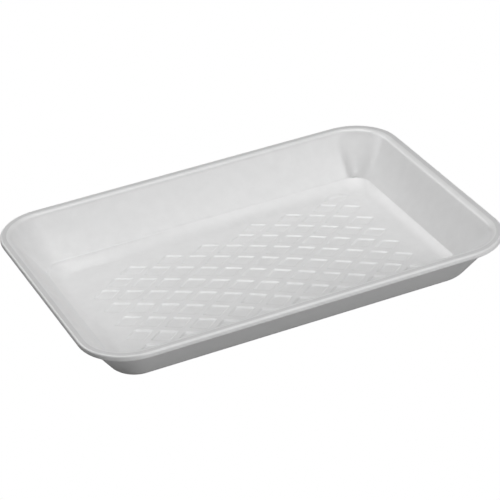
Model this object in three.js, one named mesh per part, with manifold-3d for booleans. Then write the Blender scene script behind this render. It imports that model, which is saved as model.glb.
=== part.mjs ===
// A shallow food tray of white foam sheet: flared walls, a turned-out rim and a floor embossed with
// diamonds.
// Millimetres, +Z up. X is the long side, -Y the front. The origin is on the table, under the tray's
// centre.

import * as THREE from 'three';
import { LoftGeometry } from 'three/addons/geometries/LoftGeometry.js';
import { mergeVertices } from 'three/addons/utils/BufferGeometryUtils.js';
import Module from 'manifold-3d';

const wasm = await Module();
wasm.setup();

// ---------------------------------------------------------------- driving dimensions

const TRAY_LENGTH = 210; // over the rim, along X
const TRAY_WIDTH = 149; // over the rim, along Y
const TRAY_HEIGHT = 25.7; // from the table to the top of the rim
const SHEET = 2.9; // thickness of the foam sheet
const RIM_CORNER = 24.6; // plan radius of the rim's outer corners

const FOOT_INSET_END = 19.1; // where the outer end wall would meet the table, inside the rim's edge
const FOOT_INSET_SIDE = 21.4; // the same at the long sides
const FOOT_CORNER = 10; // plan radius of the outer corners at the table
const FOOT_ROUNDING = 12.6; // radius that joins the outer wall to the underside
const FOOT_BAND = 6.5; // flat band that the tray stands on
const CREASE_HEIGHT = 3.7; // the floor's dished border meets the wall in a crease this high over the floor
const BORDER_END = 8.5; // width of that border at the ends
const BORDER_SIDE = 11; // the same along the long sides

const FLANGE = 1.6; // width of the rim's level top, without its bends
const BEND_RADIUS = 3.6; // radius of the upper face where the wall turns out into the rim
const EDGE_RADIUS = SHEET / 2; // the rim's outer edge is fully rounded

const DOME_RISE = 2.1; // the floor's middle stands this much above its border
const DOME_POWER = 1.4; // how flat the dome runs out at its border

const CELL_LENGTH = 19.26; // pitch of the diamonds along X
const CELL_WIDTH = 13.73; // pitch of the diamonds along Y
const LAST_COLUMN = 7; // columns run from -7 to 7, half a pitch apart
const FIRST_ROW = - 6; // rows run from -6 to 7, half a pitch apart
const LAST_ROW = 7;
const PATTERN_SHIFT = - 3.5; // row 0 lies this far to the front of the tray's centre
const POCKET_DEPTH = 0.5; // depth of the diamond pockets
const POCKET_TOP = 0.79; // a pocket's mouth, as a share of its cell
const POCKET_BOTTOM = 0.6; // a pocket's flat bottom, as a share of its cell
const POCKET_BLUNT = 0.12; // share of each side that the blunted corners take
const POCKET_OVERRUN = 4; // the embossing runs this far into the border

const CORNER_STEPS = 7; // facets round each corner
const LONG_STEPS = 4; // facets along each long side
const SHORT_STEPS = 2; // facets along each short side

// ---------------------------------------------------------------- sizes worked out from them

const halfLength = TRAY_LENGTH / 2;
const halfWidth = TRAY_WIDTH / 2;
const bendInset = EDGE_RADIUS + FLANGE; // inset of the bend's centre
const wallAngleEnd = wallAngle( FOOT_INSET_END );
const wallAngleSide = wallAngle( FOOT_INSET_SIDE );
const across = angle => SHEET * ( 1 / Math.cos( angle ) - Math.tan( angle ) ); // outer to inner foot line
const floorInsetEnd = FOOT_INSET_END + across( wallAngleEnd );
const floorInsetSide = FOOT_INSET_SIDE + across( wallAngleSide );
const creaseInset = ( footInset, angle ) => footInset - CREASE_HEIGHT * Math.tan( angle );
const floorCorner = FOOT_CORNER - 1.5;

// Angle from vertical of a wall that runs from the foot to the underside of the rim's bend.
function wallAngle( footInset ) {

	const run = footInset - bendInset;
	const rise = TRAY_HEIGHT - BEND_RADIUS;
	return Math.atan2( run, rise ) - Math.asin( ( BEND_RADIUS - SHEET ) / Math.hypot( run, rise ) );

}

// ---------------------------------------------------------------- outlines

// One closed outline in plan, counterclockwise: a rounded rectangle, with heightAt( x, y ) over it.
// Every outline has the same number of points, so that any two of them can be joined.
function outline( halfX, halfY, corner, heightAt ) {

	const radius = Math.min( corner, halfX, halfY );
	const points = [];
	const corners = [
		[ 1, 1, SHORT_STEPS ], [ - 1, 1, LONG_STEPS ],
		[ - 1, - 1, SHORT_STEPS ], [ 1, - 1, LONG_STEPS ]
	];

	corners.forEach( ( [ signX, signY, sideSteps ], quarter ) => {

		const centreX = signX * ( halfX - radius );
		const centreY = signY * ( halfY - radius );
		const arc = [];

		for ( let i = 0; i <= CORNER_STEPS; i ++ ) {

			const turn = ( quarter + i / CORNER_STEPS ) * Math.PI / 2;
			const outwards = new THREE.Vector3( Math.cos( turn ), Math.sin( turn ), 0 );
			arc.push( new THREE.Vector3( centreX, centreY, 0 ).addScaledVector( outwards, radius ) );

		}

		// the straight side before this corner runs from the last corner's end to this arc's start
		const alongX = quarter % 2 === 1;
		const start = alongX
			? new THREE.Vector3( - centreX, arc[ 0 ].y, 0 )
			: new THREE.Vector3( arc[ 0 ].x, - centreY, 0 );

		for ( let i = 1; i < sideSteps; i ++ ) points.push( start.clone().lerp( arc[ 0 ], i / sideSteps ) );

		points.push( ...arc );

	} );

	points.forEach( point => point.setZ( heightAt( point.x, point.y ) ) );
	return points;

}

// An outline at one height, set in from the rim's edge by its own amount at the ends and at the sides.
function insetOutline( insetEnd, insetSide, corner, height ) {

	return outline( halfLength - insetEnd, halfWidth - insetSide, corner, () => height );

}

// Points of the rounding between an outer wall and the table, as [ inset, height ], downwards.
function roundingPoints( footInset, angle, steps ) {

	const turn = Math.PI / 2 - angle;
	const centreInset = footInset + FOOT_ROUNDING * Math.tan( turn / 2 );

	return Array.from( { length: steps + 1 }, ( _, i ) => {

		const lean = turn * ( 1 - i / steps );
		return [ centreInset - FOOT_ROUNDING * Math.sin( lean ), FOOT_ROUNDING * ( 1 - Math.cos( lean ) ) ];

	} );

}

// Points of the floor's dished border, as [ inset, height ], from its crease with the wall downwards.
function borderPoints( footInset, angle, width, steps ) {

	return Array.from( { length: steps + 1 }, ( _, i ) => [
		creaseInset( footInset, angle ) + width * i / steps,
		SHEET + CREASE_HEIGHT * ( 1 - i / steps ) ** 2
	] );

}

// Points at the ends and along the sides as outlines. The plan corners shrink with the inset.
function cornerOutlines( end, side, insetEnd, corner ) {

	return end.map( ( [ inset, height ], i ) => {

		const [ insetAtSide, heightAtSide ] = side[ i ];
		const shrunk = Math.max( corner - ( inset - insetEnd ) * 0.6, 2 );
		return insetOutline( inset, insetAtSide, shrunk, ( height + heightAtSide ) / 2 );

	} );

}

// ---------------------------------------------------------------- the domed floor

// Height of a dome over a level border: full in the middle, nothing at the border's sides.
function dome( x, y, halfX, halfY ) {

	const fall = ( position, half ) => Math.max( 1 - ( position / half ) ** 2, 0 ) ** DOME_POWER;
	return DOME_RISE * fall( x, halfX ) * fall( y, halfY );

}

// The upper face of the floor, before it is embossed.
function floorHeight( x, y ) {

	return SHEET + dome( x, y, halfLength - floorInsetEnd, halfWidth - floorInsetSide );

}

// Outlines shrinking to a point in the middle of a domed face, the border first.
function domedOutlines( halfX, halfY, corner, heightAt, shares ) {

	return shares.map( share => outline( halfX * share, halfY * share, corner * share, heightAt ) );

}

// ---------------------------------------------------------------- the sheet

// Outlines round an arc of the rim. Turns are measured from level inwards, up and over.
function arcOutlines( centreInset, radius, from, to, steps ) {

	return Array.from( { length: steps + 1 }, ( _, i ) => {

		const turn = from + ( to - from ) * i / steps;
		const inset = centreInset + radius * Math.cos( turn );
		const height = TRAY_HEIGHT - ( centreInset === bendInset ? BEND_RADIUS : EDGE_RADIUS );
		return insetOutline( inset, inset, RIM_CORNER - inset, height + radius * Math.sin( turn ) );

	} );

}

// The rim: up out of the wall, level, over the rounded edge, back below and down into the outer wall.
function rimOutlines() {

	const level = Math.PI / 2;
	const wall = ( wallAngleEnd + wallAngleSide ) / 2;
	return [
		...arcOutlines( bendInset, BEND_RADIUS, wall, level, 4 ),
		...arcOutlines( EDGE_RADIUS, EDGE_RADIUS, level, 3 * level, 6 ),
		...arcOutlines( bendInset, BEND_RADIUS - SHEET, level, wall, 1 )
	];

}

// The whole sheet as one closed skin: from the middle of the floor out and up the inside, over the rim,
// down the outside and back to the middle of the underside.
function sheetGeometry() {

	const shares = [ 1, 0.8, 0.55, 0.3, 0 ];

	const inside = cornerOutlines(
		borderPoints( floorInsetEnd, wallAngleEnd, BORDER_END, 4 ),
		borderPoints( floorInsetSide, wallAngleSide, BORDER_SIDE, 4 ), floorInsetEnd, floorCorner );
	const floorEdge = inside[ inside.length - 1 ];
	const floorHalfX = Math.max( ...floorEdge.map( point => point.x ) );
	const floorHalfY = Math.max( ...floorEdge.map( point => point.y ) );
	const floor = domedOutlines( floorHalfX, floorHalfY, 4, floorHeight, shares );

	const outside = cornerOutlines(
		roundingPoints( FOOT_INSET_END, wallAngleEnd, 5 ),
		roundingPoints( FOOT_INSET_SIDE, wallAngleSide, 5 ), FOOT_INSET_END, FOOT_CORNER );
	const footEdge = outside[ outside.length - 1 ];
	const hollowHalfX = Math.max( ...footEdge.map( point => point.x ) ) - FOOT_BAND;
	const hollowHalfY = Math.max( ...footEdge.map( point => point.y ) ) - FOOT_BAND;
	const hollowHeight = ( x, y ) => dome( x, y, hollowHalfX, hollowHalfY );
	const underside = domedOutlines( hollowHalfX, hollowHalfY, 3, hollowHeight, shares );

	const sections = [
		...floor.reverse(),
		...inside.slice( 0, - 1 ).reverse(),
		...rimOutlines(),
		...outside,
		...underside
	];

	return new LoftGeometry( sections );

}

// ---------------------------------------------------------------- the embossing

// One diamond of a cell with blunted corners, at a height over the cell's own middle.
function diamond( share, height ) {

	const tips = [ [ 1, 0 ], [ 0, 1 ], [ - 1, 0 ], [ 0, - 1 ] ].map( ( [ x, y ] ) =>
		new THREE.Vector3( x * share * CELL_LENGTH / 2, y * share * CELL_WIDTH / 2, height ) );

	return tips.flatMap( ( tip, i ) => [
		tip.clone().lerp( tips[ ( i + 3 ) % 4 ], POCKET_BLUNT ),
		tip.clone().lerp( tips[ ( i + 1 ) % 4 ], POCKET_BLUNT )
	] );

}

// What the embossing takes out of the floor at one cell, square to the floor there.
function pocketGeometry( x, y ) {

	const step = 1;
	const slopeX = ( floorHeight( x + step, y ) - floorHeight( x - step, y ) ) / ( 2 * step );
	const slopeY = ( floorHeight( x, y + step ) - floorHeight( x, y - step ) ) / ( 2 * step );
	const normal = new THREE.Vector3( - slopeX, - slopeY, 1 ).normalize();
	const tilt = new THREE.Quaternion().setFromUnitVectors( new THREE.Vector3( 0, 0, 1 ), normal );
	const place = new THREE.Matrix4().compose(
		new THREE.Vector3( x, y, floorHeight( x, y ) ), tilt, new THREE.Vector3( 1, 1, 1 ) );

	const sections = [
		diamond( POCKET_BOTTOM, - POCKET_DEPTH ),
		diamond( POCKET_TOP, 0 ),
		diamond( POCKET_TOP, 3 )
	];
	return new LoftGeometry( sections, { capStart: true, capEnd: true } ).applyMatrix4( place );

}

// The middles of all cells: every other place of a grid of half pitches.
function cellPlaces() {

	const places = [];

	for ( let row = FIRST_ROW; row <= LAST_ROW; row ++ ) {

		for ( let column = - LAST_COLUMN; column <= LAST_COLUMN; column ++ ) {

			if ( ( row + column ) % 2 !== 0 ) continue;
			places.push( [ column * CELL_LENGTH / 2, row * CELL_WIDTH / 2 + PATTERN_SHIFT ] );

		}

	}

	return places;

}

// The space over the level part of the floor and the start of its border, which holds the embossing.
function embossedSpace() {

	const halfX = halfLength - creaseInset( floorInsetEnd, wallAngleEnd ) - BORDER_END + POCKET_OVERRUN;
	const halfY = halfWidth - creaseInset( floorInsetSide, wallAngleSide ) - BORDER_SIDE + POCKET_OVERRUN;
	const level = height => outline( halfX, halfY, 4, () => height );
	return new LoftGeometry( [ level( 0.8 ), level( TRAY_HEIGHT ) ], { capStart: true, capEnd: true } );

}

// ---------------------------------------------------------------- joining and cutting

// A closed geometry as a solid. Triangles that shrank to a line are dropped, and a skin that faces
// inwards is turned over.
function solid( geometry ) {

	const skin = new THREE.BufferGeometry();
	skin.setAttribute( 'position', geometry.getAttribute( 'position' ) );
	skin.setIndex( geometry.getIndex() );

	const merged = mergeVertices( skin, 1e-4 );
	const vertProperties = new Float32Array( merged.attributes.position.array );
	const corners = Array.from( merged.index.array );
	const triVerts = new Uint32Array( corners.filter( ( _, i ) => {

		const [ a, b, c ] = corners.slice( i - i % 3, i - i % 3 + 3 );
		return a !== b && b !== c && c !== a;

	} ) );

	if ( signedVolume( vertProperties, triVerts ) < 0 ) {

		for ( let i = 0; i < triVerts.length; i += 3 ) {

			[ triVerts[ i + 1 ], triVerts[ i + 2 ] ] = [ triVerts[ i + 2 ], triVerts[ i + 1 ] ];

		}

	}

	return new wasm.Manifold( new wasm.Mesh( { numProp: 3, vertProperties, triVerts } ) );

}

function signedVolume( positions, triangles ) {

	const corner = [ 0, 1, 2 ].map( () => new THREE.Vector3() );
	let volume = 0;

	for ( let i = 0; i < triangles.length; i += 3 ) {

		corner.forEach( ( point, k ) => point.fromArray( positions, 3 * triangles[ i + k ] ) );
		volume += corner[ 0 ].dot( corner[ 1 ].clone().cross( corner[ 2 ] ) ) / 6;

	}

	return volume;

}

function geometryOf( manifold ) {

	const { vertProperties, triVerts } = manifold.getMesh();
	const geometry = new THREE.BufferGeometry();
	geometry.setAttribute( 'position', new THREE.BufferAttribute( vertProperties, 3 ) );
	geometry.setIndex( new THREE.BufferAttribute( triVerts, 1 ) );
	geometry.computeVertexNormals();
	return geometry;

}

// ---------------------------------------------------------------- the tray

function foamTray() {

	const pockets = cellPlaces().map( ( [ x, y ] ) => solid( pocketGeometry( x, y ) ) )
		.reduce( ( all, pocket ) => all.add( pocket ) )
		.intersect( solid( embossedSpace() ) );

	const foam = new THREE.MeshStandardMaterial( {
		name: 'white_foam', color: 0xe8e8e6, roughness: 0.55, metalness: 0
	} );
	const tray = new THREE.Mesh( geometryOf( solid( sheetGeometry() ).subtract( pockets ) ), foam );
	tray.name = 'foam_tray';
	return tray;

}

const foodTray = new THREE.Group();
foodTray.add( foamTray() );

export default foodTray;
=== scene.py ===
"""A shallow food tray of white foam sheet, with a turned-out rim and an embossed floor.

Lengths are in metres. X is the tray's long side, -Y its front, and Z is up from the table.
"""

import math
from collections import namedtuple

import bmesh
import bpy
from bpy.props import FloatProperty, FloatVectorProperty, PointerProperty
from mathutils import Matrix, Vector


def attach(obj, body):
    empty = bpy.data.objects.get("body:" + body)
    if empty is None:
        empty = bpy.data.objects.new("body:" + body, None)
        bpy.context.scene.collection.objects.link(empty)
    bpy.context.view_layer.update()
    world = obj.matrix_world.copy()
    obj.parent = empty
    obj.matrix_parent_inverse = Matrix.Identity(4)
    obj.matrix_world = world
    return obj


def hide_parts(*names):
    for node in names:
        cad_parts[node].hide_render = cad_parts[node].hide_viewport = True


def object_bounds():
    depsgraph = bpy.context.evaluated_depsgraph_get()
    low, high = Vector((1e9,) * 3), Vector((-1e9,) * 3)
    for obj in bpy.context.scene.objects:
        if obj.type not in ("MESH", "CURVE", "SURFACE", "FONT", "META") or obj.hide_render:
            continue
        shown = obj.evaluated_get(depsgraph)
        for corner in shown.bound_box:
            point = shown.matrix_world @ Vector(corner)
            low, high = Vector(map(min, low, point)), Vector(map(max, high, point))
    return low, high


bl_info = {
    "name": "Foam food tray",
    "version": (1, 0, 0),
    "blender": (4, 5, 0),
    "location": "3D View > Sidebar > Tray",
    "description": "Forms a white foam tray with an embossed floor, and sets it on a pale table",
    "category": "Add Mesh",
}

TRAY = "foam_tray_formed"
MM = 0.001

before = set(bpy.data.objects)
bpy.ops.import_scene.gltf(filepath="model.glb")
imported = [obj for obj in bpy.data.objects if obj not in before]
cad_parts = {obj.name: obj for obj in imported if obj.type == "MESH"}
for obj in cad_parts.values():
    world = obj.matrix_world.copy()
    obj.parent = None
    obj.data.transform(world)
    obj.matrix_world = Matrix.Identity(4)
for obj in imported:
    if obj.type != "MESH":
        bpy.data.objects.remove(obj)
cad_low, cad_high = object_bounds()


# ---------------------------------------------------------------- what a user would change


class TrayProperties(bpy.types.PropertyGroup):
    """Sizes of the formed sheet."""

    length: FloatProperty(
        name="Length", description="Over the rim, along X",
        default=round(cad_high.x - cad_low.x, 3), unit="LENGTH")
    width: FloatProperty(
        name="Width", description="Over the rim, along Y",
        default=round(cad_high.y - cad_low.y, 3), unit="LENGTH")
    height: FloatProperty(
        name="Height", description="From the table to the top of the rim",
        default=25.7 * MM, unit="LENGTH")
    sheet: FloatProperty(
        name="Sheet", description="Thickness of the foam sheet",
        default=2.9 * MM, unit="LENGTH")
    rim_corner: FloatProperty(
        name="Rim corner", description="Plan radius of the rim's outer corners",
        default=24.6 * MM, unit="LENGTH")
    edge: FloatProperty(
        name="Edge", description="Radius of the rim's upper and lower edge",
        default=1.0 * MM, unit="LENGTH")
    flange: FloatProperty(
        name="Flange", description="Width of the rim's level top, without its bends",
        default=1.6 * MM, unit="LENGTH")
    bend: FloatProperty(
        name="Bend", description="Radius of the upper face where the wall turns out into the rim",
        default=3.6 * MM, unit="LENGTH")
    foot_inset_end: FloatProperty(
        name="End wall inset", description="Where the outer end wall would meet the table, inside the rim",
        default=19.1 * MM, unit="LENGTH")
    foot_inset_side: FloatProperty(
        name="Side wall inset", description="Where the outer side wall would meet the table, inside the rim",
        default=21.4 * MM, unit="LENGTH")
    foot_rounding: FloatProperty(
        name="Foot rounding", description="Radius that joins the outer wall to the underside",
        default=12.6 * MM, unit="LENGTH")
    crease: FloatProperty(
        name="Crease", description="How far above the floor its dished border meets the wall",
        default=3.7 * MM, unit="LENGTH")
    border_end: FloatProperty(
        name="End border", description="Width of the floor's dished border at the ends",
        default=8.5 * MM, unit="LENGTH")
    border_side: FloatProperty(
        name="Side border", description="Width of the floor's dished border along the long sides",
        default=11 * MM, unit="LENGTH")
    dome: FloatProperty(
        name="Dome", description="How far the floor's middle stands above its border",
        default=2.1 * MM, unit="LENGTH")
    dent: FloatProperty(
        name="Corner dent", description="How far the right back corner is pushed in",
        default=1.9 * MM, unit="LENGTH", precision=5)


class EmbossProperties(bpy.types.PropertyGroup):
    """The diamonds pressed into the floor."""

    cell_length: FloatProperty(
        name="Cell length", description="Pitch of the diamonds along X",
        default=19.26 * MM, unit="LENGTH")
    cell_width: FloatProperty(
        name="Cell width", description="Pitch of the diamonds along Y",
        default=13.73 * MM, unit="LENGTH")
    shift: FloatProperty(
        name="Shift", description="How far the pattern's middle row lies behind the tray's centre",
        default=-3.5 * MM, unit="LENGTH")
    depth: FloatProperty(
        name="Depth", description="Depth of the pockets", default=0.5 * MM, unit="LENGTH")
    mouth: FloatProperty(
        name="Mouth", description="A pocket's mouth, as a share of its cell", default=0.79, min=0.5, max=0.98)
    bottom: FloatProperty(
        name="Bottom", description="A pocket's flat bottom, as a share of its cell",
        default=0.6, min=0.1, max=0.9)
    reach: FloatProperty(
        name="Reach", description="How far up the floor's border the pockets are cut",
        default=4 * MM, unit="LENGTH")


class FoamProperties(bpy.types.PropertyGroup):
    """The finish of the foam."""

    colour: FloatVectorProperty(
        name="Colour", description="The foam's own colour", subtype="COLOR", size=3, min=0, max=1,
        default=(0.87, 0.87, 0.87))
    # Painted shade: the rim's flange gets a darker colour than the rest of the skin, standing in for the
    # shade that falls on it.
    rim_painted_shade: FloatProperty(
        name="Rim shade", description="Colour of the rim's thin flange, as a share of the foam's colour",
        default=0.85, min=0, max=1, subtype="FACTOR")
    roughness: FloatProperty(
        name="Roughness", description="Roughness of the smooth skin", default=0.38, min=0, max=1,
        subtype="FACTOR")
    cell: FloatProperty(
        name="Foam cell", description="Size of the foam's cells under the skin",
        default=0.6 * MM, unit="LENGTH", precision=5)
    cell_relief: FloatProperty(
        name="Cell relief", description="How far the cells show through the skin",
        default=0.008 * MM, unit="LENGTH", precision=6)


class StudioProperties(bpy.types.PropertyGroup):
    """The light, the table and the camera."""

    top: FloatProperty(
        name="Top light", description="Power of the softbox above the tray", default=3.9, min=0, unit="POWER")
    top_right: FloatProperty(
        name="Top right light", description="Power of the softbox high up at the right", default=1.7, min=0,
        unit="POWER")
    left: FloatProperty(
        name="Left light", description="Power of the softbox at the back left", default=4.8, min=0,
        unit="POWER")
    front: FloatProperty(
        name="Front light", description="Power of the softbox in front of the tray", default=7.1, min=0,
        unit="POWER")
    right: FloatProperty(
        name="Right light", description="Power of the low softbox at the front right", default=0.4,
        min=0, unit="POWER")
    around: FloatProperty(
        name="Surroundings", description="Brightness of the room around", default=0.0, min=0)
    lens: FloatProperty(
        name="Lens", description="Focal length on a 36 mm sensor", default=160.88 * MM, unit="CAMERA")


# ---------------------------------------------------------------- sections of the sheet

# A level section of the tray: a rounded rectangle of half sizes half_x and half_y, at a height.
Section = namedtuple("Section", "half_x half_y corner height")


def between(start, end, share):
    """The section at a share of the way from one section to another."""
    return Section(*(a + (b - a) * share for a, b in zip(start, end)))


class SheetShape:
    """The tray's cross-sections, worked out from its sizes."""

    FOOT_CORNER = 10 * MM
    FLOOR_CORNER = 8.5 * MM
    CORNER_SHRINK = 0.6  # how fast a corner's plan radius shrinks with the inset
    LEAST_CORNER = 2 * MM
    FOOT_BAND = 6.5 * MM  # flat band that the tray stands on
    HOLLOW_CORNER = 3 * MM
    DOME_POWER = 1.4  # how flat the dome runs out at its border
    BORDER_POWER = 1.4  # how flat the dished border starts from the level floor
    END_POWER = 0.7  # the border curves up more at the ends, so its crease is softer there

    def __init__(self, sizes):
        self.half_x, self.half_y = sizes.length / 2, sizes.width / 2
        self.height, self.sheet, self.bend = sizes.height, sizes.sheet, sizes.bend
        self.rim_corner = sizes.rim_corner
        self.edge = sizes.edge
        self.bend_inset = sizes.sheet / 2 + sizes.flange
        self.foot_insets = (sizes.foot_inset_end, sizes.foot_inset_side)
        self.wall_angles = [self.wall_angle(inset) for inset in self.foot_insets]
        self.floor_insets = [
            inset + self.sheet * (1 / math.cos(angle) - math.tan(angle))
            for inset, angle in zip(self.foot_insets, self.wall_angles)
        ]
        self.foot_rounding = sizes.foot_rounding
        self.crease, self.borders = sizes.crease, (sizes.border_end, sizes.border_side)
        self.dome_rise = sizes.dome

    def wall_angle(self, foot_inset):
        """Angle from vertical of a wall that runs from the foot to the underside of the rim's bend."""
        run, rise = foot_inset - self.bend_inset, self.height - self.bend
        return math.atan2(run, rise) - math.asin((self.bend - self.sheet) / math.hypot(run, rise))

    def inset(self, end, side, corner, height):
        return Section(self.half_x - end, self.half_y - side, corner, height)

    def shrunk(self, corner, inset, inset_there):
        """A plan corner's radius at an inset, from its radius at another."""
        return max(corner - (inset - inset_there) * self.CORNER_SHRINK, self.LEAST_CORNER)

    def foot(self, share):
        """A section of the rounding under the tray, from 0 on the table to 1 at the outer wall."""
        found = []
        for inset, angle in zip(self.foot_insets, self.wall_angles):
            turn = math.pi / 2 - angle
            centre = inset + self.foot_rounding * math.tan(turn / 2)
            found.append((centre - self.foot_rounding * math.sin(turn * share),
                          self.foot_rounding * (1 - math.cos(turn * share))))
        (end, end_height), (side, side_height) = found
        corner = self.shrunk(self.FOOT_CORNER, end, self.foot_insets[0])
        return self.inset(end, side, corner, (end_height + side_height) / 2)

    def border(self, share):
        """A section of the floor's dished border, from 0 at the level floor to 1 at the wall."""
        end, side = (
            inset - self.crease * math.tan(angle) + width * (1 - share ** power)
            for inset, angle, width, power in zip(
                self.floor_insets, self.wall_angles, self.borders, (self.END_POWER, 1)))
        corner = self.shrunk(self.FLOOR_CORNER, end, self.floor_insets[0])
        return self.inset(end, side, corner, self.sheet + self.crease * share ** self.BORDER_POWER)

    def arc(self, inset, drop, radius, turns):
        """Sections round an arc of the rim. Turns are in degrees from level inwards, up and over."""
        found = []
        for turn in turns:
            place = inset + radius * math.cos(math.radians(turn))
            found.append(self.inset(place, place, self.rim_corner - place,
                                    self.height - drop + radius * math.sin(math.radians(turn))))
        return found

    def dome(self, x, y, half_x, half_y):
        """Height of the floor's dome over a level border."""
        fall = 1.0
        for position, half in ((x, half_x), (y, half_y)):
            fall *= max(1 - (position / half) ** 2, 0) ** self.DOME_POWER
        return self.dome_rise * fall

    def floor_dome(self, x, y):
        return self.dome(x, y, self.half_x - self.floor_insets[0], self.half_y - self.floor_insets[1])

    def hollow(self):
        """The border of the hollow under the floor."""
        foot = self.foot(0)
        return Section(foot.half_x - self.FOOT_BAND, foot.half_y - self.FOOT_BAND, self.HOLLOW_CORNER, 0)


def outside(x, y, section):
    """Distance of a plan point from a section's outline, negative inside it."""
    dx = abs(x) - (section.half_x - section.corner)
    dy = abs(y) - (section.half_y - section.corner)
    return math.hypot(max(dx, 0), max(dy, 0)) + min(max(dx, dy), 0) - section.corner


def ease(share):
    """From 0 to 1: a straight slope with both of its ends rounded off."""
    bend = 0.3  # share of the slope that each rounded end takes
    share = min(max(share, 0), 1)
    if share > 0.5:
        return 1 - ease(1 - share)
    if share < bend:
        return share * share / (2 * bend * (1 - bend))
    return (share - bend / 2) / (1 - bend)


# ---------------------------------------------------------------- rings of the sheet

CORNER_CUTS = 14  # facets round each corner
LONG_CUTS = 69  # cuts along each long side
SHORT_CUTS = 39  # and along each short side
# RIM is the skin with painted shade in its colour, used on the rim's flange.
SKIN, CUT_EDGE, RIM = 0, 1, 2  # the mesh's materials, in this order


def first_ring(bm, section):
    """A ring of edges on a section. Each vertex keeps its place on the outline and the way it faces."""
    bmesh.ops.create_grid(bm, x_segments=1, y_segments=1, size=1)
    bmesh.ops.scale(bm, verts=bm.verts, vec=(section.half_x, section.half_y, 1))
    bmesh.ops.bevel(
        bm, geom=bm.verts[:], affect="VERTICES", offset=section.corner, offset_type="OFFSET",
        segments=CORNER_CUTS, profile=0.5, material=-1)
    bmesh.ops.delete(bm, geom=bm.faces[:], context="FACES_ONLY")
    straight = [e for e in bm.edges if e.calc_length() > 3 * section.corner]
    for cuts, along in ((LONG_CUTS, 0), (SHORT_CUTS, 1)):
        edges = [e for e in straight if abs((e.verts[0].co - e.verts[1].co)[along]) > 1 * MM]
        bmesh.ops.subdivide_edges(bm, edges=edges, cuts=cuts)

    side = bm.verts.layers.float_vector.new("side")
    facing = bm.verts.layers.float_vector.new("facing")
    core = Vector((section.half_x - section.corner, section.half_y - section.corner, 0))
    for vert in bm.verts:
        held = Vector((max(-core.x, min(core.x, vert.co.x)), max(-core.y, min(core.y, vert.co.y)), 0))
        vert[side] = Vector((held.x / core.x, held.y / core.y, 0))
        vert[facing] = (vert.co - held).normalized()
    place_ring(bm, bm.verts, section)
    return bm.edges[:]


def place_ring(bm, verts, section):
    """Moves a ring's vertices to another section."""
    side = bm.verts.layers.float_vector["side"]
    facing = bm.verts.layers.float_vector["facing"]
    core_x, core_y = section.half_x - section.corner, section.half_y - section.corner
    for vert in verts:
        s, n = vert[side], vert[facing]
        vert.co = (s.x * core_x + n.x * section.corner, s.y * core_y + n.y * section.corner, section.height)


def extend(bm, edges, section, material=SKIN):
    """Draws the sheet on from a ring of edges to a section. Gives the new ring's edges."""
    made = bmesh.ops.extrude_edge_only(bm, edges=edges)["geom"]
    verts = {g for g in made if isinstance(g, bmesh.types.BMVert)}
    place_ring(bm, verts, section)
    for face in (g for g in made if isinstance(g, bmesh.types.BMFace)):
        face.material_index = material
    return [g for g in made if isinstance(g, bmesh.types.BMEdge) and set(g.verts) <= verts]


SEAM = 0.9  # where the floor's mesh meets the walls', as a share of the border
FIRST_WALL_STEP = 0.12  # an extra ring close above the crease keeps it crisp
FLANGE_SHARES = (0.1, 0.35, 0.65, 0.95, 1)  # rings across the flange, from the bend to the rim's edge
UNDERSIDE_SHARES = (0.94, 0.87, 0.79, 0.7, 0.6, 0.5, 0.4, 0.3, 0.2, 0.1)  # rings under the floor


def sheet_sections(shape):
    """All sections from the seam up the inside, over the rim, and down the outside to the hollow."""
    border_steps, wall_steps, bend_steps, foot_steps = 3, 9, 10, 16
    inner = [shape.border(SEAM + (1 - SEAM) * i / border_steps) for i in range(border_steps + 1)]
    outer = [shape.foot(1 - i / foot_steps) for i in range(foot_steps + 1)]
    start = math.degrees(sum(shape.wall_angles) / 2)
    turns = [start + (90 - start) * i / bend_steps for i in range(bend_steps + 1)]
    bend = shape.arc(shape.bend_inset, shape.bend, shape.bend, turns)
    crown = shape.arc(shape.edge, shape.edge, shape.edge, range(90, 181, 10))
    lip = shape.arc(shape.edge, shape.sheet - shape.edge, shape.edge, range(180, 271, 15))
    root = shape.arc(shape.bend_inset, shape.bend, shape.bend - shape.sheet, reversed(turns[::3]))
    hollow = shape.hollow()

    found = [(s, SKIN) for s in inner]
    found += [(between(inner[-1], bend[0], i / wall_steps), SKIN)
              for i in (FIRST_WALL_STEP, *range(1, wall_steps))]
    found += [(s, SKIN) for s in bend]
    # the flange's rings take the material with painted shade darkening its colour
    found += [(between(bend[-1], crown[0], share), RIM) for share in FLANGE_SHARES]
    found += [(s, SKIN) for s in crown[1:]]
    found += [(s, CUT_EDGE) for s in lip]
    found += [(between(lip[-1], root[0], 0.5), SKIN)]
    found += [(s, SKIN) for s in root]
    found += [(between(root[-1], outer[0], i / wall_steps), SKIN) for i in range(1, wall_steps)]
    found += [(s, SKIN) for s in outer]
    found += [(between(outer[-1], hollow, i / 3), SKIN) for i in (1, 2, 3)]
    return found


def draw_sheet(bm, shape):
    """The walls, the rim and the underside, as one skin that is open only at the seam."""
    sections = sheet_sections(shape)
    ring = first_ring(bm, sections[0][0])
    for section, material in sections[1:]:
        ring = extend(bm, ring, section, material)

    hollow = shape.hollow()
    for share in UNDERSIDE_SHARES:
        section = Section(hollow.half_x * share, hollow.half_y * share, hollow.corner * share, 0)
        ring = extend(bm, ring, section)
        for vert in {v for e in ring for v in e.verts}:
            vert.co.z = shape.dome(vert.co.x, vert.co.y, hollow.half_x, hollow.half_y)
    last = bmesh.ops.edgeloop_fill(bm, edges=ring)["faces"]
    bmesh.ops.poke(bm, faces=last)


# ---------------------------------------------------------------- the embossed floor

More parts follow.
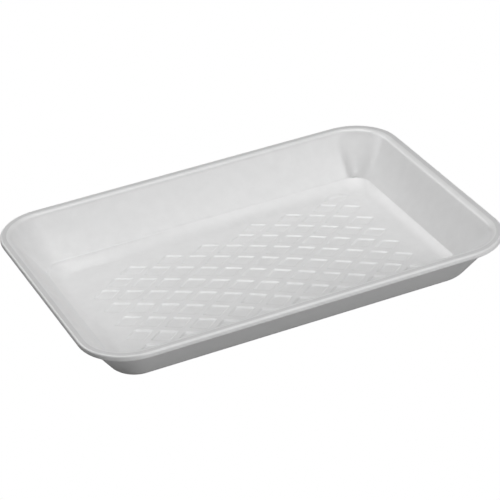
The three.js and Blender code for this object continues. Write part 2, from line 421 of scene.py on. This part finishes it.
CELLS = 17  # cells along each side of the lattice that the floor is cut from
LAST_COLUMN = 7  # pockets run from column -7 to 7, half a pitch apart
FIRST_ROW = -5  # the row before it would cut into the border at the front
LAST_ROW = 5.85  # the last row behind the middle column
ROW_SLOPE = 0.165  # and this much later for each column to the right
BLUNTNESS = 9  # the higher, the sharper a pocket's corners
FADE = 1.5 * MM  # the pockets run out over this width of the border
CLIP = 0.84  # where the floor's mesh ends, as a share of the border
CORNER_PLANES = 12  # cuts that trim each corner of the floor's mesh
TRIM_MARGIN = 0.2 * MM
WELD = 0.09 * MM  # vertices closer than this are merged after trimming
HALVINGS = 18  # steps of the search for a point's place in the border

SWELL = 0.8 * MM  # height of the swell at the back left
SWELL_WIDTH = 18 * MM  # it reaches this far to the front from the crease
SWELL_END = 20 * MM  # it starts here along X and grows to the left
SWELL_RUN = 90 * MM  # over this length
SWELL_SCALE = 6.75  # brings the highest point of its curve to 1


def cell_lines(emboss):
    """Where the mesh lines of half a cell lie, from its middle: close together on the flanks."""
    low, high = emboss.bottom / 2, emboss.mouth / 2
    flank = [low + (high - low) * share for share in (0, 0.16, 0.32, 0.5, 0.68, 0.84, 1)]
    return [0, low * 0.35, low * 0.7] + flank + [(high + 0.5) / 2]


def cut_lattice(bm, emboss):
    """A level grid whose lines run along the diamonds' sides."""
    half = cell_lines(emboss)
    lines = [-x for x in reversed(half)] + half[1:] + [0.5]  # of one cell, after its own first edge
    count = CELLS * len(lines)
    bmesh.ops.create_grid(bm, x_segments=count, y_segments=count, size=1)

    def lattice(position):
        index = round((position + 1) / 2 * count)
        cell, line = divmod(index - 1, len(lines))
        return cell - (CELLS - 1) / 2 + lines[line]

    for vert in bm.verts:
        a, b = lattice(vert.co.x), lattice(vert.co.y)
        vert.co = ((a + b) * emboss.cell_length / 2, (a - b) * emboss.cell_width / 2 + emboss.shift, 0)


def trim(bm, section):
    """Cuts a level mesh along a section's outline."""
    far = [f for f in bm.faces if all(outside(v.co.x, v.co.y, section) > TRIM_MARGIN for v in f.verts)]
    bmesh.ops.delete(bm, geom=far, context="FACES")
    for quarter in range(4):
        for i in range(CORNER_PLANES + 1):
            turn = (quarter + i / CORNER_PLANES) * math.pi / 2
            normal = Vector((math.cos(turn), math.sin(turn), 0))
            core_x = math.copysign(section.half_x - section.corner, math.cos((quarter + 0.5) * math.pi / 2))
            core_y = math.copysign(section.half_y - section.corner, math.sin((quarter + 0.5) * math.pi / 2))
            point = Vector((core_x, core_y, 0)) + normal * section.corner
            bmesh.ops.bisect_plane(
                bm, geom=bm.verts[:] + bm.edges[:] + bm.faces[:], dist=1e-6, plane_co=point,
                plane_no=normal, clear_outer=True)
    bmesh.ops.remove_doubles(bm, verts=bm.verts, dist=WELD)


def floor_base(shape, x, y):
    """Height of the plain floor and its border, without the dome."""
    if outside(x, y, shape.border(0)) <= 0:
        return shape.sheet
    low, high = 0.0, SEAM
    for _ in range(HALVINGS):
        middle = (low + high) / 2
        if outside(x, y, shape.border(middle)) > 0:
            low = middle
        else:
            high = middle
    return shape.border(high).height


def swell(shape, x, y):
    """Height by which the floor rises more gently towards the back left than elsewhere."""
    back = shape.half_y - shape.floor_insets[1] + shape.crease * math.tan(shape.wall_angles[1])
    share = min(max((back - y) / SWELL_WIDTH, 0), 1)
    return SWELL * ease((SWELL_END - x) / SWELL_RUN) * SWELL_SCALE * share * (1 - share) ** 2


def pocket(emboss, x, y):
    """How deep the pocket is at a plan point, from 0 to 1."""
    a = x / emboss.cell_length + (y - emboss.shift) / emboss.cell_width
    b = x / emboss.cell_length - (y - emboss.shift) / emboss.cell_width
    column, row = round(a) + round(b), round(a) - round(b)
    if abs(column) > LAST_COLUMN or row < FIRST_ROW or row > LAST_ROW + ROW_SLOPE * column:
        return 0
    reach = (abs(a - round(a)) ** BLUNTNESS + abs(b - round(b)) ** BLUNTNESS) ** (1 / BLUNTNESS)
    return ease((emboss.mouth / 2 - reach) / (emboss.mouth / 2 - emboss.bottom / 2))


def emboss_floor(bm, shape, emboss):
    """The floor, domed and embossed, up to where the walls' mesh begins."""
    cut_lattice(bm, emboss)
    trim(bm, shape.border(CLIP))
    level = shape.border(0)
    for vert in bm.verts:
        x, y, _ = vert.co
        share = ease((emboss.reach - outside(x, y, level)) / FADE) * pocket(emboss, x, y)
        base = floor_base(shape, x, y) + swell(shape, x, y)
        depth = emboss.depth + base - shape.sheet
        vert.co.z = base + shape.floor_dome(x, y) - depth * share


def join_floor(bm, floor):
    """Adds the floor to the walls and closes the narrow gap between them."""
    mesh = bpy.data.meshes.new("floor")
    floor.to_mesh(mesh)
    bm.from_mesh(mesh)
    bpy.data.meshes.remove(mesh)
    gap = [e for e in bm.edges if e.is_boundary]
    bmesh.ops.triangle_fill(bm, edges=gap, use_beauty=True, normal=(0, 0, 1))


DENT_CORE = 4 * MM  # nothing nearer to the corner's centre is pushed
DENT_FOOT, DENT_RISE = 5.5 * MM, 3.5 * MM  # the dent starts at this height and is full this much higher
DENT_TOP, DENT_FALL = 1.5 * MM, 8 * MM  # it ends this far below the rim and fades over this height
DENT_FOLD, DENT_SPREAD, DENT_SCALE = 0.6, 2, 4  # its curve round the corner: steep at the fold, then soft


def dent_corner(bm, shape, depth):
    """Pushes in the walls' right back corner, with a fold where the back wall ends."""
    centre = Vector((shape.half_x - shape.rim_corner, shape.half_y - shape.rim_corner, 0))
    for vert in bm.verts:
        out = Vector((vert.co.x, vert.co.y, 0)) - centre
        turn = math.degrees(math.atan2(out.x, out.y))  # 0 at the back wall, 90 at the right wall
        if out.length < DENT_CORE or not 0 < turn < 90:
            continue
        round_corner = DENT_SCALE * (turn / 90) ** DENT_FOLD * (1 - turn / 90) ** DENT_SPREAD
        foot = ease((vert.co.z - DENT_FOOT) / DENT_RISE)
        top = ease((shape.height - DENT_TOP - vert.co.z) / DENT_FALL)
        vert.co -= out.normalized() * (depth * round_corner * foot * top)


# ---------------------------------------------------------------- finish


POLYSTYRENE_IOR = 1.59
SPECULAR = 0.85
MOTTLE = 0.02  # how much the skin's shade varies
CUT_MOTTLE, CUT_ROUGHNESS = 0.05, 0.75  # the cut edge is rougher and more uneven
CUT_CELLS = 0.6  # cells per length of the cut edge, as a share of the skin's
CUT_RELIEF = 8  # and its relief, as a multiple of the skin's
BLOTCHES_PER_METRE = 180
ROUGHNESS_SPREAD = 0.03
LUMPS = 0.9  # relief of the blotches, as a share of the cells'


def socket(group, name, kind, direction):
    group.interface.new_socket(name=name, in_out=direction, socket_type=kind)


def foam_cells_group():
    """Cells of the foam under its skin, and a soft unevenness of the skin over them."""
    group = bpy.data.node_groups.new("foam_cells", "ShaderNodeTree")
    socket(group, "Vector", "NodeSocketVector", "INPUT")
    socket(group, "Cells per Metre", "NodeSocketFloat", "INPUT")
    socket(group, "Mottle", "NodeSocketFloat", "INPUT")
    socket(group, "Roughness", "NodeSocketFloat", "INPUT")
    socket(group, "Shade", "NodeSocketFloat", "OUTPUT")
    socket(group, "Roughness", "NodeSocketFloat", "OUTPUT")
    socket(group, "Height", "NodeSocketFloat", "OUTPUT")
    nodes, links = group.nodes, group.links
    into, out = nodes.new("NodeGroupInput"), nodes.new("NodeGroupOutput")

    cells = nodes.new("ShaderNodeTexVoronoi")
    cells.feature = "SMOOTH_F1"
    cells.inputs["Smoothness"].default_value = 0.35
    links.new(into.outputs["Vector"], cells.inputs["Vector"])
    links.new(into.outputs["Cells per Metre"], cells.inputs["Scale"])

    blotch = nodes.new("ShaderNodeTexNoise")
    blotch.inputs["Scale"].default_value = BLOTCHES_PER_METRE
    blotch.inputs["Detail"].default_value = 4
    blotch.inputs["Roughness"].default_value = 0.6
    links.new(into.outputs["Vector"], blotch.inputs["Vector"])

    wide = nodes.new("ShaderNodeMapRange")
    wide.inputs["From Min"].default_value = 0.3
    wide.inputs["From Max"].default_value = 0.7
    wide.inputs["To Min"].default_value = -1
    wide.inputs["To Max"].default_value = 1
    links.new(blotch.outputs["Fac"], wide.inputs["Value"])

    shade = nodes.new("ShaderNodeMath")
    shade.operation = "MULTIPLY_ADD"
    shade.inputs[2].default_value = 1
    links.new(wide.outputs["Result"], shade.inputs[0])
    links.new(into.outputs["Mottle"], shade.inputs[1])
    links.new(shade.outputs[0], out.inputs["Shade"])

    rough = nodes.new("ShaderNodeMath")
    rough.operation = "MULTIPLY_ADD"
    rough.inputs[1].default_value = ROUGHNESS_SPREAD
    links.new(wide.outputs["Result"], rough.inputs[0])
    links.new(into.outputs["Roughness"], rough.inputs[2])
    links.new(rough.outputs[0], out.inputs["Roughness"])

    lumps = nodes.new("ShaderNodeMath")
    lumps.operation = "MULTIPLY_ADD"
    lumps.inputs[1].default_value = LUMPS
    links.new(blotch.outputs["Fac"], lumps.inputs[0])
    links.new(cells.outputs["Distance"], lumps.inputs[2])
    links.new(lumps.outputs[0], out.inputs["Height"])
    return group


def foam_material(name, group, foam, cells_per_metre, mottle, roughness, relief, shade=1):
    """A foam finish: satin skin or an open cut edge; for the rim's flange, the skin with painted shade, its
    colour darkened by the given share.
    """
    material = bpy.data.materials.new(name)
    material.use_nodes = True
    nodes, links = material.node_tree.nodes, material.node_tree.links
    shader = nodes["Principled BSDF"]
    shader.inputs["IOR"].default_value = POLYSTYRENE_IOR
    shader.inputs["Specular IOR Level"].default_value = SPECULAR
    # a shade below 1 is painted shade that darkens the colour (used for the rim's flange)
    colour = [shade * value for value in foam.colour]
    material.diffuse_color = (*colour, 1)

    place = nodes.new("ShaderNodeTexCoord")
    cells = nodes.new("ShaderNodeGroup")
    cells.node_tree = group
    cells.inputs["Cells per Metre"].default_value = cells_per_metre
    cells.inputs["Mottle"].default_value = mottle
    cells.inputs["Roughness"].default_value = roughness
    links.new(place.outputs["Object"], cells.inputs["Vector"])

    tint = nodes.new("ShaderNodeMix")
    tint.data_type, tint.blend_type = "RGBA", "MULTIPLY"
    tint.inputs["Factor"].default_value = 1
    tint.inputs["A"].default_value = (*colour, 1)
    links.new(cells.outputs["Shade"], tint.inputs["B"])
    links.new(tint.outputs["Result"], shader.inputs["Base Color"])
    links.new(cells.outputs["Roughness"], shader.inputs["Roughness"])

    bump = nodes.new("ShaderNodeBump")
    bump.inputs["Distance"].default_value = relief
    links.new(cells.outputs["Height"], bump.inputs["Height"])
    links.new(bump.outputs["Normal"], shader.inputs["Normal"])
    return material


# ---------------------------------------------------------------- operators


class TRAY_OT_form_sheet(bpy.types.Operator):
    """Forms the tray from one sheet: walls, turned-out rim, foot and embossed floor"""

    bl_idname = "tray.form_sheet"
    bl_label = "Form the tray"

    def execute(self, context):
        scene = context.scene
        shape, emboss, foam = SheetShape(scene.tray_sizes), scene.tray_emboss, scene.tray_foam
        bm, floor = bmesh.new(), bmesh.new()
        draw_sheet(bm, shape)
        emboss_floor(floor, shape, emboss)
        join_floor(bm, floor)
        floor.free()
        dent_corner(bm, shape, scene.tray_sizes.dent)
        bmesh.ops.recalc_face_normals(bm, faces=bm.faces)
        if any(not e.is_manifold for e in bm.edges) or bm.calc_volume() < 0:
            raise RuntimeError("the tray's skin is open or inside out")
        for face in bm.faces:
            face.smooth = True
        mesh = bpy.data.meshes.new(TRAY)
        bm.to_mesh(mesh)
        bm.free()

        group = foam_cells_group()
        mesh.materials.append(foam_material(
            "foam_skin", group, foam, 1 / foam.cell, MOTTLE, foam.roughness, foam.cell_relief))
        mesh.materials.append(foam_material(
            "foam_cut_edge", group, foam, CUT_CELLS / foam.cell, CUT_MOTTLE, CUT_ROUGHNESS,
            foam.cell_relief * CUT_RELIEF))
        # the last material is the skin's finish with painted shade: its colour darkened for the rim's flange
        mesh.materials.append(foam_material(
            "foam_rim", group, foam, 1 / foam.cell, MOTTLE, foam.roughness, foam.cell_relief,
            foam.rim_painted_shade))
        tray = bpy.data.objects.new(TRAY, mesh)
        scene.collection.objects.link(tray)
        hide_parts("foam_tray")
        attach(tray, "root")
        return {"FINISHED"}


LIGHTS = {
    # name: azimuth and elevation in degrees, the panel's two sides, and the property with its power
    "top": (195, 76, 0.5, 0.5, "top"),
    "top right": (120, 70, 0.4, 0.4, "top_right"),
    "left": (215, 38, 0.9, 0.6, "left"),
    "front": (17, 28, 0.6, 0.5, "front"),
    "right": (45, 15, 0.5, 0.4, "right"),
}
LIGHT_DISTANCE = 1.2
TABLE_RADIUS = 3
TABLE_GREY = 0.38  # what the table reflects onto the tray; the camera sees it plain white
SENSOR = 36  # width in millimetres
CAMERA_AZIMUTH, CAMERA_ELEVATION, CAMERA_ROLL = -22.315, 29.806, -4.704  # degrees
CAMERA_DISTANCE = 1050.6 * MM  # from the middle of the rim
CAMERA_RIGHT, CAMERA_DOWN = 1.0 * MM, 8.8 * MM  # its place beside the line to that point


def direction(azimuth, elevation):
    """From the tray towards a place round it. Azimuth 0 is in front, at -Y, and 90 at +X."""
    a, e = math.radians(azimuth), math.radians(elevation)
    return Vector((math.sin(a) * math.cos(e), -math.cos(a) * math.cos(e), math.sin(e)))


class TRAY_OT_set_stage(bpy.types.Operator):
    """Sets up the table, the softboxes and the camera"""

    bl_idname = "tray.set_stage"
    bl_label = "Set the stage"

    def table(self, scene):
        bm = bmesh.new()
        bmesh.ops.create_circle(bm, cap_ends=True, radius=TABLE_RADIUS, segments=96)
        mesh = bpy.data.meshes.new("table")
        bm.to_mesh(mesh)
        bm.free()
        material = bpy.data.materials.new("pale_table")
        material.use_nodes = True
        nodes, links = material.node_tree.nodes, material.node_tree.links
        shader, output = nodes["Principled BSDF"], nodes["Material Output"]
        shader.inputs["Base Color"].default_value = (TABLE_GREY, TABLE_GREY, TABLE_GREY, 1)
        shader.inputs["Roughness"].default_value = 0.9
        seen, plain, mix = (nodes.new("ShaderNodeLightPath"), nodes.new("ShaderNodeEmission"),
                            nodes.new("ShaderNodeMixShader"))
        links.new(seen.outputs["Is Camera Ray"], mix.inputs["Fac"])
        links.new(shader.outputs["BSDF"], mix.inputs[1])
        links.new(plain.outputs["Emission"], mix.inputs[2])
        links.new(mix.outputs["Shader"], output.inputs["Surface"])
        mesh.materials.append(material)
        table = bpy.data.objects.new("table", mesh)
        scene.collection.objects.link(table)

    def lights(self, scene, studio):
        for name, (azimuth, elevation, wide, high, power) in LIGHTS.items():
            data = bpy.data.lights.new(name, "AREA")
            data.shape, data.size, data.size_y = "RECTANGLE", wide, high
            data.energy = getattr(studio, power)
            light = bpy.data.objects.new(name, data)
            towards = direction(azimuth, elevation)
            light.location = towards * LIGHT_DISTANCE
            light.rotation_euler = towards.to_track_quat("Z", "Y").to_euler()
            scene.collection.objects.link(light)

    def world(self, scene, studio):
        world = bpy.data.worlds.new("room")
        world.use_nodes = True
        nodes, links = world.node_tree.nodes, world.node_tree.links
        around, output = nodes["Background"], nodes["World Output"]
        around.inputs["Color"].default_value = (1, 1, 1, 1)
        around.inputs["Strength"].default_value = studio.around
        seen, plain, mix = (nodes.new("ShaderNodeLightPath"), nodes.new("ShaderNodeBackground"),
                            nodes.new("ShaderNodeMixShader"))
        plain.inputs["Color"].default_value = (1, 1, 1, 1)
        links.new(seen.outputs["Is Camera Ray"], mix.inputs["Fac"])
        links.new(around.outputs["Background"], mix.inputs[1])
        links.new(plain.outputs["Background"], mix.inputs[2])
        links.new(mix.outputs["Shader"], output.inputs["Surface"])
        scene.world = world

    def camera(self, scene, studio):
        data = bpy.data.cameras.new("camera")
        data.sensor_width, data.lens = SENSOR, studio.lens / MM
        data.clip_start, data.clip_end = 0.05, 20
        camera = bpy.data.objects.new("camera", data)
        back = direction(CAMERA_AZIMUTH, CAMERA_ELEVATION)
        level = Vector((-back.y, back.x, 0)).normalized()
        roll = Matrix.Rotation(math.radians(CAMERA_ROLL), 3, back)
        right, up = roll @ level, roll @ back.cross(level)
        aim = Vector((0, 0, scene.tray_sizes.height))
        place = aim + CAMERA_DISTANCE * back + CAMERA_RIGHT * right - CAMERA_DOWN * up
        camera.matrix_world = Matrix.Translation(place) @ Matrix((right, up, back)).transposed().to_4x4()
        scene.collection.objects.link(camera)
        scene.camera = camera

    def execute(self, context):
        scene = context.scene
        studio = scene.tray_studio
        self.table(scene)
        self.lights(scene, studio)
        self.world(scene, studio)
        self.camera(scene, studio)
        scene.view_settings.view_transform = "Standard"
        return {"FINISHED"}


class TRAY_PT_panel(bpy.types.Panel):
    """Lists the tray's sizes and the steps that make it"""

    bl_idname = "TRAY_PT_panel"
    bl_label = "Foam food tray"
    bl_space_type = "VIEW_3D"
    bl_region_type = "UI"
    bl_category = "Tray"

    def draw(self, context):
        layout = self.layout
        for group, made_by in GROUPS.items():
            box = layout.box()
            settings = getattr(context.scene, group)
            for name in settings.bl_rna.properties.keys():
                if name not in ("rna_type", "name"):
                    box.prop(settings, name)
            if made_by:
                box.operator(made_by)


GROUPS = {
    "tray_sizes": None, "tray_emboss": None, "tray_foam": "tray.form_sheet",
    "tray_studio": "tray.set_stage",
}
CLASSES = (
    TrayProperties, EmbossProperties, FoamProperties, StudioProperties,
    TRAY_OT_form_sheet, TRAY_OT_set_stage, TRAY_PT_panel,
)


def register():
    for cls in CLASSES:
        bpy.utils.register_class(cls)
    for name, kind in zip(GROUPS, CLASSES):
        setattr(bpy.types.Scene, name, PointerProperty(type=kind))


def unregister():
    for name in GROUPS:
        delattr(bpy.types.Scene, name)
    for cls in reversed(CLASSES):
        bpy.utils.unregister_class(cls)


def main():
    register()
    bpy.ops.tray.form_sheet()
    bpy.ops.tray.set_stage()


if __name__ == "__main__":
    main()
